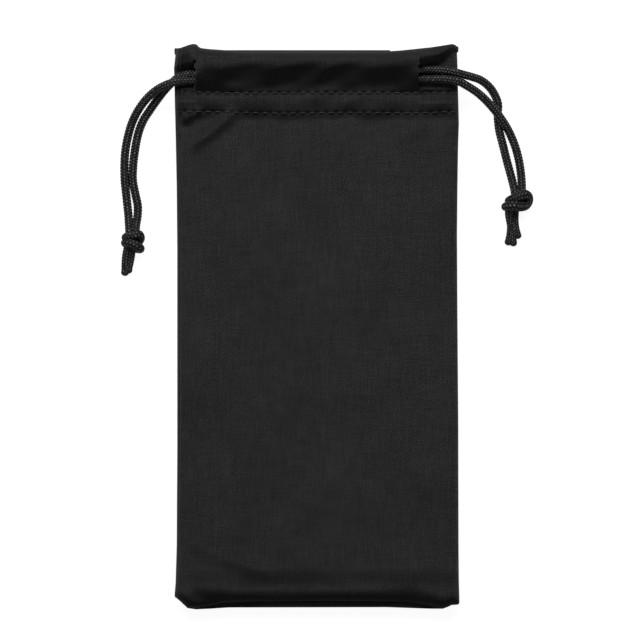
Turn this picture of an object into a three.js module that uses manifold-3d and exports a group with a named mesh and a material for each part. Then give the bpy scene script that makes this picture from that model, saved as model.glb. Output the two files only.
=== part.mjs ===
// A soft drawstring pouch for eyeglasses, lying empty on its back.
// Millimetres. +X to the right, +Y towards the mouth, +Z up from the table.
// The origin is on the table, under the middle of the pouch.

import * as THREE from 'three';
import { mergeVertices } from 'three/addons/utils/BufferGeometryUtils.js';
import Module from 'manifold-3d';

const wasm = await Module();
wasm.setup();

// Cloth panels
const POUCH_WIDTH = 90;
const POUCH_LENGTH = 180;
const CLOTH_THICKNESS = 0.5;
const BACK_DEPTH = 4.35;
const FRONT_DEPTH = 4.45;
const SEAM_GAP = 0.3;
const SIDE_ROLL = 4;
const BOTTOM_ROLL = 6;
const BOTTOM_LIP = 1.7;
const LEFT_CHAMFER = { across: 3.5, up: 4.5 };
const RIGHT_CHAMFER = { across: 5, up: 2.3 };

// Mouth edge: raised at both corners, lower between them
const BACK_MOUTH_DIP = 1.1;
const FRONT_FOLD_DIP = 1.5;
const LEFT_CORNER = { across: 6.4, slope: 3 };
const RIGHT_CORNER = { across: 4, slope: 19 };

// Casing for the drawcords, folded in at the mouth and sewn with two rows of stitches
const CASING_WIDTH = 13.5;
const BAND_WIDTH = 6.4;
const BAND_CREST = 0.8;
const BAND_PINCH = 0.1;
const TUNNEL_FLOOR = 0.05;
const LEFT_SLIT_INSET = 6.4;
const RIGHT_SLIT_INSET = 12.3;
const SIDE_PORT_LENGTH = 8;
const SIDE_PORT_INSET = 1;

// Sewing thread
const THREAD_DIAMETER = 0.35;
const THREAD_SIDES = 5;
const THREAD_GAP = 0.06;
const STITCH_PITCH = 3;
const STITCH_RISE = 0.15;
const STITCH_SIDE_MARGIN = 2.5;

// Drawcords
const CORD_DIAMETER = 2.4;
const CORD_CLEARANCE = 0.3;
const CORD_SIDES = 8;
const CORD_STEP = 6;
const CASING_RUN_STEP = 5;
const LANE_MARGIN = 0.06;
const LANE_START = 2.5;
const LANE_CHANGE = 20;
const ROUTE_GAP = 0.3;
const SPLIT_GAP = 0.9;

// Fineness of the round shapes
const ROLL_STEPS = 4;
const BODY_ROWS = 8;
const CURVE_SEGMENTS = 9;
const BALL_SEGMENTS = 10;
const BALL_RINGS = 7;

// Levels and lines that follow from the sizes above
const HALF_WIDTH = POUCH_WIDTH / 2;
const HALF_LENGTH = POUCH_LENGTH / 2;
const BACK_SEAM_Z = BACK_DEPTH;
const FRONT_SEAM_Z = BACK_SEAM_Z + SEAM_GAP;
const FRONT_TOP = FRONT_SEAM_Z + FRONT_DEPTH;
const FOLD_Y = HALF_LENGTH - FRONT_FOLD_DIP;
const UPPER_ROW_Y = FOLD_Y - CASING_WIDTH;
const LOWER_ROW_Y = UPPER_ROW_Y - BAND_WIDTH;
const LEFT_SLIT_X = -HALF_WIDTH + LEFT_SLIT_INSET;
const RIGHT_SLIT_X = HALF_WIDTH - RIGHT_SLIT_INSET;
const CORD_RADIUS = CORD_DIAMETER / 2;
const TUNNEL_RADIUS = CORD_RADIUS + CORD_CLEARANCE;
const FRONT_LANE_Z = FRONT_TOP + TUNNEL_FLOOR + TUNNEL_RADIUS;
const BACK_LANE_Z = CLOTH_THICKNESS + TUNNEL_FLOOR + TUNNEL_RADIUS;

// Materials: black matte microfibre, sewing thread and braided cord
const matteMaterial = (color, roughness) => new THREE.MeshStandardMaterial({ color, roughness });
const clothMaterial = () => matteMaterial(0x282828, 0.9);
const threadMaterial = () => matteMaterial(0x1a1a1a, 0.7);
const cordMaterial = () => matteMaterial(0x2c2c2c, 0.75);

// A closed geometry as a solid that can be joined and cut, and back again
function toSolid(geometry) {
  const bare = geometry.clone();
  bare.deleteAttribute('normal');
  bare.deleteAttribute('uv');
  const welded = mergeVertices(bare, 1e-4);
  const vertProperties = new Float32Array(welded.attributes.position.array);
  const triVerts = new Uint32Array(welded.index.array);
  return new wasm.Manifold(new wasm.Mesh({ numProp: 3, vertProperties, triVerts }));
}

function toGeometry(solid) {
  const mesh = solid.getMesh();
  const geometry = new THREE.BufferGeometry();
  geometry.setAttribute('position', new THREE.BufferAttribute(new Float32Array(mesh.vertProperties), 3));
  geometry.setIndex(new THREE.BufferAttribute(new Uint32Array(mesh.triVerts), 1));
  return geometry;
}

function boxSolid(low, high) {
  const box = new THREE.BoxGeometry(high[0] - low[0], high[1] - low[1], high[2] - low[2]);
  box.translate((low[0] + high[0]) / 2, (low[1] + high[1]) / 2, (low[2] + high[2]) / 2);
  return toSolid(box);
}

// A profile drawn in Y and Z, extruded along X
function extrudeAlongX(shape, fromX, toX) {
  const settings = { depth: toX - fromX, bevelEnabled: false, curveSegments: CURVE_SEGMENTS };
  const geometry = new THREE.ExtrudeGeometry(shape, settings);
  const profileToModel = new THREE.Matrix4().makeBasis(
    new THREE.Vector3(0, 1, 0),
    new THREE.Vector3(0, 0, 1),
    new THREE.Vector3(1, 0, 0),
  );
  geometry.applyMatrix4(profileToModel);
  geometry.translate(fromX, 0, 0);
  return toSolid(geometry);
}

// A round tube along a smooth curve through the given points
function tube(points, diameter, sides, stepLength) {
  const route = points.map((point) => new THREE.Vector3(...point));
  const curve = new THREE.CatmullRomCurve3(route, false, 'centripetal');
  const section = new THREE.Shape();
  for (let i = 0; i < sides; i++) {
    const angle = ((i + 0.5) / sides) * 2 * Math.PI;
    const x = (diameter / 2) * Math.cos(angle);
    const y = (diameter / 2) * Math.sin(angle);
    if (i === 0) section.moveTo(x, y);
    else section.lineTo(x, y);
  }
  const steps = Math.max(2, Math.round(curve.getLength() / stepLength));
  return new THREE.ExtrudeGeometry(section, { extrudePath: curve, steps, bevelEnabled: false });
}

// Stations over a quarter-round roll: distance from the edge, and height as a share of the depth
function rollStations(radius) {
  const stations = [];
  for (let i = 0; i <= ROLL_STEPS; i++) {
    const angle = (i / ROLL_STEPS) * (Math.PI / 2);
    stations.push({ offset: radius * (1 - Math.cos(angle)), lift: Math.sin(angle) });
  }
  return stations;
}

// Columns of a panel from its left edge to its right one, with the mouth's corners among them
function panelColumns() {
  const roll = rollStations(SIDE_ROLL);
  const left = roll.map(({ offset, lift }) => ({ x: -HALF_WIDTH + offset, lift }));
  const right = roll.map(({ offset, lift }) => ({ x: HALF_WIDTH - offset, lift })).reverse();
  const leftCorner = -HALF_WIDTH + LEFT_CORNER.across;
  const rightRise = HALF_WIDTH - RIGHT_CORNER.across - RIGHT_CORNER.slope;
  const middle = [leftCorner, leftCorner + LEFT_CORNER.slope];
  const from = leftCorner + LEFT_CORNER.slope;
  for (let i = 1; i <= ROLL_STEPS; i++) {
    middle.push(from + ((rightRise - from) * i) / ROLL_STEPS);
  }
  for (let i = 1; i < ROLL_STEPS; i++) {
    middle.push(rightRise + (RIGHT_CORNER.slope * i) / ROLL_STEPS);
  }
  return [...left, ...middle.map((x) => ({ x, lift: 1 })), ...right];
}

// Outline of the closed end, with a cut-off corner at each side
function bottomEdge(x, lip) {
  const square = -HALF_LENGTH + lip;
  const leftShare = Math.max(0, 1 - (x + HALF_WIDTH) / LEFT_CHAMFER.across);
  const rightShare = Math.max(0, 1 - (HALF_WIDTH - x) / RIGHT_CHAMFER.across);
  const cut = -HALF_LENGTH + leftShare * LEFT_CHAMFER.up + rightShare * RIGHT_CHAMFER.up;
  return Math.max(square, cut);
}

// Outline of the mouth: full length at the corners, dipped between them
function mouthEdge(x, dip) {
  const fromLeft = (x + HALF_WIDTH - LEFT_CORNER.across) / LEFT_CORNER.slope;
  const fromRight = (HALF_WIDTH - RIGHT_CORNER.across - x) / RIGHT_CORNER.slope;
  const share = THREE.MathUtils.smoothstep(Math.min(fromLeft, fromRight), 0, 1);
  return HALF_LENGTH - dip * share;
}

// One cloth panel as a thin tray: flat in the middle, rolled to the seam at three sides, open at the mouth
function panelShell({ seamZ, depth, side, lip, dip }) {
  const columns = panelColumns();
  const rows = rollStations(BOTTOM_ROLL).map(({ offset, lift }) => ({ offset, share: 0, lift }));
  for (let j = 1; j <= BODY_ROWS; j++) {
    rows.push({ offset: BOTTOM_ROLL, share: j / BODY_ROWS, lift: 1 });
  }

  const positions = [];
  for (const inset of [0, CLOTH_THICKNESS]) {
    for (const row of rows) {
      for (const column of columns) {
        const low = bottomEdge(column.x, lip);
        const high = mouthEdge(column.x, dip);
        const outerY = low + row.offset + (high - low - row.offset) * row.share;
        const y = high - ((high - outerY) * (high - low - inset)) / (high - low);
        const x = (column.x * (HALF_WIDTH - inset)) / HALF_WIDTH;
        positions.push(x, y, seamZ + side * (depth - inset) * row.lift * column.lift);
      }
    }
  }

  const across = columns.length;
  const along = rows.length;
  const outer = (i, j) => j * across + i;
  const inner = (i, j) => (along + j) * across + i;
  const index = [];
  const quad = (a, b, c, d) => (side > 0 ? index.push(a, b, c, a, c, d) : index.push(a, c, b, a, d, c));
  for (let j = 0; j + 1 < along; j++) {
    for (let i = 0; i + 1 < across; i++) {
      quad(outer(i, j), outer(i + 1, j), outer(i + 1, j + 1), outer(i, j + 1));
      quad(inner(i, j), inner(i, j + 1), inner(i + 1, j + 1), inner(i + 1, j));
    }
  }
  for (let i = 0; i + 1 < across; i++) {
    quad(outer(i + 1, 0), outer(i, 0), inner(i, 0), inner(i + 1, 0));
    quad(outer(i, along - 1), outer(i + 1, along - 1), inner(i + 1, along - 1), inner(i, along - 1));
  }
  for (let j = 0; j + 1 < along; j++) {
    quad(outer(0, j), outer(0, j + 1), inner(0, j + 1), inner(0, j));
    quad(outer(across - 1, j + 1), outer(across - 1, j), inner(across - 1, j), inner(across - 1, j + 1));
  }
  const geometry = new THREE.BufferGeometry();
  geometry.setAttribute('position', new THREE.Float32BufferAttribute(positions, 3));
  geometry.setIndex(index);
  return toSolid(geometry);
}

// Casing: a flat round-ended tunnel that stands on the panel's upper face
function casingShape(faceZ) {
  const middleZ = faceZ + TUNNEL_FLOOR + TUNNEL_RADIUS;
  const outerRadius = TUNNEL_RADIUS + CLOTH_THICKNESS;
  const rowEndY = UPPER_ROW_Y + outerRadius;
  const foldEndY = FOLD_Y - outerRadius;
  const shape = new THREE.Shape();
  shape.moveTo(UPPER_ROW_Y, faceZ - CLOTH_THICKNESS / 2);
  shape.lineTo(UPPER_ROW_Y, middleZ);
  shape.absarc(rowEndY, middleZ, outerRadius, Math.PI, Math.PI / 2, true);
  shape.absarc(foldEndY, middleZ, outerRadius, Math.PI / 2, -Math.PI / 4, true);
  shape.lineTo(foldEndY, faceZ - CLOTH_THICKNESS / 2);
  shape.closePath();
  const tunnel = new THREE.Path();
  tunnel.absarc(rowEndY, middleZ, TUNNEL_RADIUS, Math.PI / 2, (3 * Math.PI) / 2, false);
  tunnel.absarc(foldEndY, middleZ, TUNNEL_RADIUS, -Math.PI / 2, Math.PI / 2, false);
  shape.holes.push(tunnel);
  return shape;
}

// Band between the two stitch rows: padded by the turned-in hem, pinched at both rows
const ROW_WIDTH = 2 * (THREAD_DIAMETER + THREAD_GAP);
const STITCH_ROWS = { lower: LOWER_ROW_Y, upper: UPPER_ROW_Y - ROW_WIDTH / 2 };

function bandShape(faceZ) {
  const rowZ = faceZ + BAND_PINCH;
  const crestZ = rowZ + 2 * BAND_CREST;
  const baseZ = faceZ - CLOTH_THICKNESS / 2;
  const shape = new THREE.Shape();
  shape.moveTo(LOWER_ROW_Y - ROW_WIDTH, baseZ);
  shape.lineTo(LOWER_ROW_Y - ROW_WIDTH / 2, rowZ);
  shape.lineTo(LOWER_ROW_Y + ROW_WIDTH / 2, rowZ);
  shape.quadraticCurveTo((LOWER_ROW_Y + UPPER_ROW_Y) / 2, crestZ, UPPER_ROW_Y - ROW_WIDTH, rowZ);
  shape.lineTo(UPPER_ROW_Y + CLOTH_THICKNESS / 2, rowZ);
  shape.lineTo(UPPER_ROW_Y + CLOTH_THICKNESS / 2, baseZ);
  shape.closePath();
  return shape;
}

// Ends of the turned-in hem layer, where a drawcord crosses between the front and back casings
const LEFT_PORT_X = LEFT_SLIT_X + SIDE_PORT_INSET;
const RIGHT_PORT_X = RIGHT_SLIT_X - SIDE_PORT_INSET;

function sidePort(fromX, toX, lowZ, highZ) {
  const lowY = UPPER_ROW_Y + CLOTH_THICKNESS;
  const highY = FOLD_Y - CLOTH_THICKNESS;
  return boxSolid([fromX, lowY, lowZ], [toX, highY, highZ]);
}

function withSidePorts(solid, lowZ, highZ) {
  const left = sidePort(LEFT_PORT_X, LEFT_PORT_X + SIDE_PORT_LENGTH, lowZ, highZ);
  const right = sidePort(RIGHT_PORT_X - SIDE_PORT_LENGTH, RIGHT_PORT_X, lowZ, highZ);
  return solid.subtract(left).subtract(right);
}

// Front panel, with the casing on top between the two slits
const HEM_END_X = HALF_WIDTH - SIDE_ROLL;

function frontPanel() {
  const shell = panelShell({
    seamZ: FRONT_SEAM_Z,
    depth: FRONT_DEPTH,
    side: 1,
    lip: BOTTOM_LIP,
    dip: FRONT_FOLD_DIP + CLOTH_THICKNESS,
  });
  const casing = extrudeAlongX(casingShape(FRONT_TOP), LEFT_SLIT_X, RIGHT_SLIT_X);
  const band = extrudeAlongX(bandShape(FRONT_TOP), -HEM_END_X, HEM_END_X);
  const whole = shell.add(band).add(casing);
  return withSidePorts(whole, FRONT_TOP - 2 * CLOTH_THICKNESS, FRONT_LANE_Z);
}

// Back panel, with its casing on the inside and a groove under each stitch row
function backPanel() {
  const shell = panelShell({ seamZ: BACK_SEAM_Z, depth: BACK_DEPTH, side: -1, lip: 0, dip: BACK_MOUTH_DIP });
  const casing = extrudeAlongX(casingShape(CLOTH_THICKNESS), -HEM_END_X, HEM_END_X);
  const band = extrudeAlongX(bandShape(CLOTH_THICKNESS), -HEM_END_X, HEM_END_X);
  const aboveCasing = BACK_LANE_Z + TUNNEL_RADIUS + 2 * CLOTH_THICKNESS;
  let whole = withSidePorts(shell.add(band).add(casing), BACK_LANE_Z, aboveCasing);
  for (const rowY of Object.values(STITCH_ROWS)) {
    const low = [-HEM_END_X, rowY - ROW_WIDTH / 2, -CLOTH_THICKNESS];
    const high = [HEM_END_X, rowY + ROW_WIDTH / 2, THREAD_DIAMETER + 2 * THREAD_GAP];
    whole = whole.subtract(boxSolid(low, high));
  }
  return whole;
}

// One row of stitches, as the thread that lies on the cloth and dips at each needle hole
function stitchRow(rowY, lowZ, rise) {
  const end = HEM_END_X - STITCH_SIDE_MARGIN;
  const count = Math.round((2 * end) / STITCH_PITCH);
  const points = [];
  for (let i = 0; i <= 2 * count; i++) {
    const x = -end + (end * i) / count;
    points.push([x, rowY, lowZ + THREAD_DIAMETER / 2 + (i % 2) * rise]);
  }
  return tube(points, THREAD_DIAMETER, THREAD_SIDES, STITCH_PITCH / 2);
}

function straightThread(from, to) {
  return tube([from, to], THREAD_DIAMETER, THREAD_SIDES, Infinity);
}

// Seam threads lie inside the pouch, in the corner between the two panels' edges
const SEAM_THREAD_Z = BACK_SEAM_Z + SEAM_GAP / 2;
const SEAM_THREAD_INSET = CLOTH_THICKNESS + SEAM_GAP + THREAD_DIAMETER / 2;
const SIDE_SEAM_X = HALF_WIDTH - SEAM_THREAD_INSET;
const SIDE_SEAM_START_Y = -HALF_LENGTH + LEFT_CHAMFER.up + BOTTOM_ROLL;
const BOTTOM_SEAM_Y = -HALF_LENGTH + BOTTOM_LIP + SEAM_THREAD_INSET;
const BOTTOM_SEAM_END_X = HALF_WIDTH - RIGHT_CHAMFER.across - SIDE_ROLL;

// Drawcord stretches that can be seen. Each starts inside the casing, where it lies straight for the pull,
// comes out of its slit over the side of the pouch, drops to the table and runs to its knot.
const CORD_ROUTES = {
  left_cord_outer_strand: [
    [-12, 79.2, 10.65], [-25, 79.2, 10.65], [-38.6, 79.2, 10.65], [-42, 79, 10.95], [-45, 78.6, 11.2],
    [-47.6, 77.9, 10.9], [-51, 76.2, 9.6], [-54.1, 73.7, 7.2], [-57.2, 69.9, 4.6], [-59.5, 65.7, 2.7],
    [-61, 61.1, 1.6], [-61.7, 56.7, 1.25], [-61.9, 51.9, 1.25], [-61.5, 47.1, 1.25], [-61, 41.3, 1.25],
    [-60.6, 35.7, 1.4], [-60.5, 31.2, 2.2],
  ],
  left_cord_inner_strand: [
    [-12, 81.7, 10.65], [-25, 81.7, 10.65], [-38.6, 81.7, 10.65], [-41.5, 81.6, 10.45], [-44.5, 80.7, 9.35],
    [-46.8, 78.9, 8.1], [-48.7, 76.6, 7], [-51, 73.4, 5.2], [-53.5, 69.6, 3.4], [-55.5, 66.4, 2.2],
    [-56.7, 63.3, 1.5], [-57.6, 60.3, 1.25], [-58.3, 56.2, 1.25], [-58.8, 51.9, 1.25], [-59, 47.1, 1.25],
    [-58.1, 42.8, 1.25], [-57.5, 38.5, 1.25], [-57.8, 34.2, 1.5], [-58, 31.2, 2.2],
  ],
  right_cord_inner_strand: [
    [9, 82.7, 10.65], [20, 82.7, 10.65], [32.7, 82.7, 10.65], [36.6, 82.8, 10.6], [40.4, 82.6, 10.5],
    [43.8, 81.9, 10.1], [46.6, 80.9, 9.1], [49.5, 80.1, 7.5], [52.4, 79.2, 5.5], [55.2, 77.2, 3.4],
    [57.2, 74.4, 1.8], [58.2, 71.5, 1.25], [58.3, 68.9, 1.25], [58.3, 66.3, 1.25], [58.5, 63.1, 1.25],
    [59.5, 58.3, 1.25], [60.7, 53.5, 1.25], [62, 48.7, 1.4], [63.2, 44.3, 2],
  ],
  right_cord_outer_strand: [
    [9, 80, 10.65], [20, 80, 10.65], [32.7, 80, 10.65], [36.8, 80, 10.65], [40.9, 79.9, 10.8],
    [45.2, 79.1, 11], [48.9, 77.4, 10.1], [52.4, 75.6, 8.1], [55.2, 73.1, 6], [57.5, 70.2, 4.6],
    [59.6, 66.8, 3.7], [61.4, 63.1, 2.1], [63.3, 58.3, 1.25], [64.6, 53.5, 1.25], [65.4, 48.7, 1.4],
    [65.8, 44.3, 2],
  ],
  left_cord_outer_tail: [[-61.3, 23.4, 1.9], [-61.9, 20.2, 1.3], [-62.6, 16.4, 1.25]],
  left_cord_inner_tail: [[-58.7, 23.2, 1.9], [-59.4, 20.2, 1.3], [-60, 16.8, 1.25]],
  right_cord_inner_tail: [[61.4, 36.4, 1.9], [61.5, 33, 1.3], [62, 29, 1.25], [62.2, 26.1, 1.25]],
  right_cord_outer_tail: [[64.2, 36.7, 2], [64.1, 34.1, 1.5], [64.5, 31.1, 1.25], [64.7, 28.2, 1.25]],
};

// Overhand knots, each the outer shape of its turns: centre and radius of every lump
const KNOT_LUMPS = {
  left_cord_knot: [
    [-61, 28.8, 3, 2.3], [-57.6, 28.6, 3.2, 2.4], [-59.3, 26.2, 3.1, 2.7], [-60.6, 25.6, 2.8, 2.2],
  ],
  right_cord_knot: [
    [67, 41.8, 3.2, 2.6], [63, 41.6, 3.1, 2.5], [61.7, 38.8, 2.9, 2.3], [65.4, 39.2, 3.1, 2.6],
  ],
};

function knot(lumps) {
  const balls = lumps.map(([x, y, z, radius]) => {
    const ball = new THREE.SphereGeometry(radius, BALL_SEGMENTS, BALL_RINGS);
    return toSolid(ball.translate(x, y, z));
  });
  return toGeometry(balls.reduce((whole, ball) => whole.add(ball)));
}

// Hidden stretch of a drawcord: along the front casing, down through the side port, along the back casing,
// up through the other port, and back beside the first stretch to where the second strand starts
const TURN_Z = (FRONT_LANE_Z + BACK_LANE_Z) / 2;
const TURN_RADIUS = (FRONT_LANE_Z - BACK_LANE_Z) / 2;
const PORT_CLEARANCE = CORD_RADIUS + 2 * CORD_CLEARANCE;
const LEFT_TURN_X = LEFT_PORT_X + PORT_CLEARANCE + TURN_RADIUS;
const RIGHT_TURN_X = RIGHT_PORT_X - PORT_CLEARANCE - TURN_RADIUS;
const UPPER_LANE_Y = FOLD_Y - CLOTH_THICKNESS - TUNNEL_RADIUS;
const LOWER_LANE_Y = UPPER_ROW_Y + CLOTH_THICKNESS + CORD_RADIUS + LANE_MARGIN;

// Quarter turn in the port at the given side, from a casing's lane to the split half way between the casings
const SPLIT_ANGLE = SPLIT_GAP / 2 / TURN_RADIUS;
const TURN_LEAD = 2 * CORD_DIAMETER;

function portTurn(centreX, laneY, side, level) {
  const points = [[centreX - side * TURN_LEAD, laneY, TURN_Z + level * TURN_RADIUS]];
  for (let i = 0; i <= 3; i++) {
    const angle = Math.PI / 2 + ((SPLIT_ANGLE - Math.PI / 2) * i) / 3;
    const x = centreX + side * TURN_RADIUS * Math.cos(angle);
    points.push([x, laneY, TURN_Z + level * TURN_RADIUS * Math.sin(angle)]);
  }
  return points;
}

// From the inner end of one strand across to the far side's port
function frontRun(startX, startY, laneY, farX, farSide) {
  const level = FRONT_LANE_Z;
  const endX = startX + farSide * LANE_CHANGE;
  const points = [ROUTE_GAP, LANE_START].map((offset) => [startX + farSide * offset, startY, level]);
  for (const share of [0.25, 0.5, 0.75]) {
    const y = startY + (laneY - startY) * THREE.MathUtils.smoothstep(share, 0, 1);
    points.push([startX + (endX - startX) * share, y, level]);
  }
  points.push([endX, laneY, level], [endX + farSide * TURN_LEAD, laneY, level]);
  return [...points, ...portTurn(farX, laneY, farSide, 1)];
}

function backRun(laneY) {
  const left = portTurn(LEFT_TURN_X, laneY, -1, -1).reverse();
  const right = portTurn(RIGHT_TURN_X, laneY, 1, -1);
  return [...left, ...right];
}

// From the inner end of the second strand, round a flat turn inside the casing and back to the near port
function returnRun(startX, startY, laneY, nearX, nearSide) {
  const level = FRONT_LANE_Z;
  const radius = (laneY - startY) / 2;
  const points = [[startX - nearSide * ROUTE_GAP, startY, level]];
  for (const angle of [-60, -20, 20, 60]) {
    const turn = THREE.MathUtils.degToRad(angle);
    const x = startX - nearSide * (2 * ROUTE_GAP + Math.abs(radius) * Math.cos(turn));
    points.push([x, startY + radius + radius * Math.sin(turn), level]);
  }
  points.push([startX - nearSide * ROUTE_GAP, laneY, level], [startX + nearSide * TURN_LEAD, laneY, level]);
  return [...points, ...portTurn(nearX, laneY, nearSide, 1)];
}

const innerEnd = (strand) => CORD_ROUTES[strand][0];
const [LEFT_OUTER_X, LEFT_OUTER_Y] = innerEnd('left_cord_outer_strand');
const [LEFT_INNER_X, LEFT_INNER_Y] = innerEnd('left_cord_inner_strand');
const [RIGHT_OUTER_X, RIGHT_OUTER_Y] = innerEnd('right_cord_outer_strand');
const [RIGHT_INNER_X, RIGHT_INNER_Y] = innerEnd('right_cord_inner_strand');

const CASING_RUNS = {
  left_cord_front_run: frontRun(LEFT_OUTER_X, LEFT_OUTER_Y, UPPER_LANE_Y, RIGHT_TURN_X, 1),
  left_cord_back_run: backRun(UPPER_LANE_Y),
  left_cord_return_run: returnRun(LEFT_INNER_X, LEFT_INNER_Y, UPPER_LANE_Y, LEFT_TURN_X, -1),
  right_cord_front_run: frontRun(RIGHT_INNER_X, RIGHT_INNER_Y, LOWER_LANE_Y, LEFT_TURN_X, -1),
  right_cord_back_run: backRun(LOWER_LANE_Y),
  right_cord_return_run: returnRun(RIGHT_OUTER_X, RIGHT_OUTER_Y, LOWER_LANE_Y, RIGHT_TURN_X, 1),
};

// The pouch put together
const pouch = new THREE.Group();

function addPiece(name, geometry, material) {
  const mesh = new THREE.Mesh(geometry, material);
  mesh.name = name;
  pouch.add(mesh);
}

addPiece('back_panel', toGeometry(backPanel()), clothMaterial());
addPiece('front_panel', toGeometry(frontPanel()), clothMaterial());

const frontRowZ = FRONT_TOP + BAND_PINCH + THREAD_GAP;
for (const [row, rowY] of Object.entries(STITCH_ROWS)) {
  addPiece(`front_${row}_stitch`, stitchRow(rowY, frontRowZ, STITCH_RISE), threadMaterial());
  addPiece(`back_${row}_stitch`, stitchRow(rowY, THREAD_GAP, 0), threadMaterial());
}

for (const [name, side] of [['left_seam_thread', -1], ['right_seam_thread', 1]]) {
  const low = [side * SIDE_SEAM_X, SIDE_SEAM_START_Y, SEAM_THREAD_Z];
  const high = [side * SIDE_SEAM_X, LOWER_ROW_Y, SEAM_THREAD_Z];
  addPiece(name, straightThread(low, high), threadMaterial());
}
const bottomLeft = [-BOTTOM_SEAM_END_X, BOTTOM_SEAM_Y, SEAM_THREAD_Z];
const bottomRight = [BOTTOM_SEAM_END_X, BOTTOM_SEAM_Y, SEAM_THREAD_Z];
addPiece('bottom_seam_thread', straightThread(bottomLeft, bottomRight), threadMaterial());

for (const [name, points] of Object.entries(CORD_ROUTES)) {
  addPiece(name, tube(points, CORD_DIAMETER, CORD_SIDES, CORD_STEP), cordMaterial());
}
for (const [name, lumps] of Object.entries(KNOT_LUMPS)) {
  addPiece(name, knot(lumps), cordMaterial());
}
for (const [name, points] of Object.entries(CASING_RUNS)) {
  addPiece(name, tube(points, CORD_DIAMETER, CORD_SIDES, CASING_RUN_STEP), cordMaterial());
}

export default pouch;
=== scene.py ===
import math
import bpy
import numpy as np
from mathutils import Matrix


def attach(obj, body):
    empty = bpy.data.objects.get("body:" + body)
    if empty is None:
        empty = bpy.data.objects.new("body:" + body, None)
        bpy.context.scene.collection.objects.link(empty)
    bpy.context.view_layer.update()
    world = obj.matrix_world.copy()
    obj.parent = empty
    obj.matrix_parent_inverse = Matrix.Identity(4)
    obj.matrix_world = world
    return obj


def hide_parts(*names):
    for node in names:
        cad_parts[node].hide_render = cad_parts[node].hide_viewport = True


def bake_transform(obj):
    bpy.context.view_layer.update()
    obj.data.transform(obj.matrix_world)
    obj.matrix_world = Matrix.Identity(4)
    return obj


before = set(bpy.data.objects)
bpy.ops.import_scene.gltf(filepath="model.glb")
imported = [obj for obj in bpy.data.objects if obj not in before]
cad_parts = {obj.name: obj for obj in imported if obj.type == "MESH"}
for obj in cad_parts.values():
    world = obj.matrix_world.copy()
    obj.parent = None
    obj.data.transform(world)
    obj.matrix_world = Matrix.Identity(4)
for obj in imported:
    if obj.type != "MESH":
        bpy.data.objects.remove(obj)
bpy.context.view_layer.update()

# The pouch lies on a white table and is seen from straight above, as in a catalogue picture.
# A wide soft light stands beyond the mouth and a weak one beyond the closed end, so faces turned to the
# closed end are the darker ones; the cloth's colour adds painted shade on them too.
MM = 0.001
PICTURE_PIXELS = 640
PIXELS_PER_MM = 3.12
PICTURE_WIDTH = PICTURE_PIXELS / PIXELS_PER_MM * MM
PICTURE_CENTRE = (0.96 * MM, 2.24 * MM)
CAMERA_HEIGHT = 1.6
POUCH_MID_HEIGHT = 6 * MM
SENSOR_WIDTH = 36.0
TABLE_SIZE = 6

camera = bpy.data.objects.new("camera", bpy.data.cameras.new("camera"))
bpy.context.scene.collection.objects.link(camera)
camera.location = (*PICTURE_CENTRE, CAMERA_HEIGHT)
camera.data.sensor_width = SENSOR_WIDTH
camera.data.lens = SENSOR_WIDTH * (CAMERA_HEIGHT - POUCH_MID_HEIGHT) / PICTURE_WIDTH
bpy.context.scene.camera = camera
bpy.context.scene.view_settings.view_transform = "Standard"

bpy.ops.object.select_all(action="DESELECT")
bpy.ops.mesh.primitive_plane_add(size=TABLE_SIZE, location=(0, 0, 0))
table = bpy.context.object
table.name = "table"
table_finish = bpy.data.materials.new("white_table")
table_finish.use_nodes = True
table_shader = table_finish.node_tree.nodes["Principled BSDF"]
table_shader.inputs["Base Color"].default_value = (0.15, 0.15, 0.15, 1)
table_shader.inputs["Roughness"].default_value = 1.0
table_shader.inputs["Specular IOR Level"].default_value = 0.0
table_shader.inputs["Emission Color"].default_value = (1, 1, 1, 1)
table_shader.inputs["Emission Strength"].default_value = 0.92
table.data.materials.append(table_finish)

world = bpy.data.worlds.new("studio")
bpy.context.scene.world = world
world.use_nodes = True
world.node_tree.nodes["Background"].inputs["Color"].default_value = (1, 1, 1, 1)
world.node_tree.nodes["Background"].inputs["Strength"].default_value = 0.16


def soft_light(name, place, size, energy):
    """A rectangular light that points at the pouch."""
    light = bpy.data.objects.new(name, bpy.data.lights.new(name, "AREA"))
    bpy.context.scene.collection.objects.link(light)
    light.data.shape = "RECTANGLE"
    light.data.size, light.data.size_y = size
    light.data.energy = energy
    light.location = place
    light.rotation_euler = (-math.atan2(place[1], place[2]), math.atan2(place[0], place[2]), 0)


soft_light("key_light", (-0.08, 0.62, 0.68), (0.9, 0.45), 12.4)
soft_light("fill_light", (0.1, -0.7, 0.6), (0.8, 0.5), 1.8)


# Drawcords: soft black braid, about 2.6 mm thick, woven two over two from sixteen yarns, eight each way.
# Each strand starts in the casing, comes out of its slit over the side seam, drops to the table and
# runs to the knot. The two strands of a side are one cord, doubled.
CORD_RADIUS = 1.32 * MM
CORD_SIDES = 48
CORD_STEP = 0.14 * MM
BRAID_YARNS = 8
BRAID_PITCH = 0.98 * MM
BRAID_RELIEF = 0.14
BRAID_MEAN_CROWN = 0.55
TIGHT_PITCH = 0.82
SMOOTH_CROWN = 0.62
FLANK_BELOW = 0.45
FLANK_BLEND = 0.4
ROUTE_SAMPLES = 40


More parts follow.
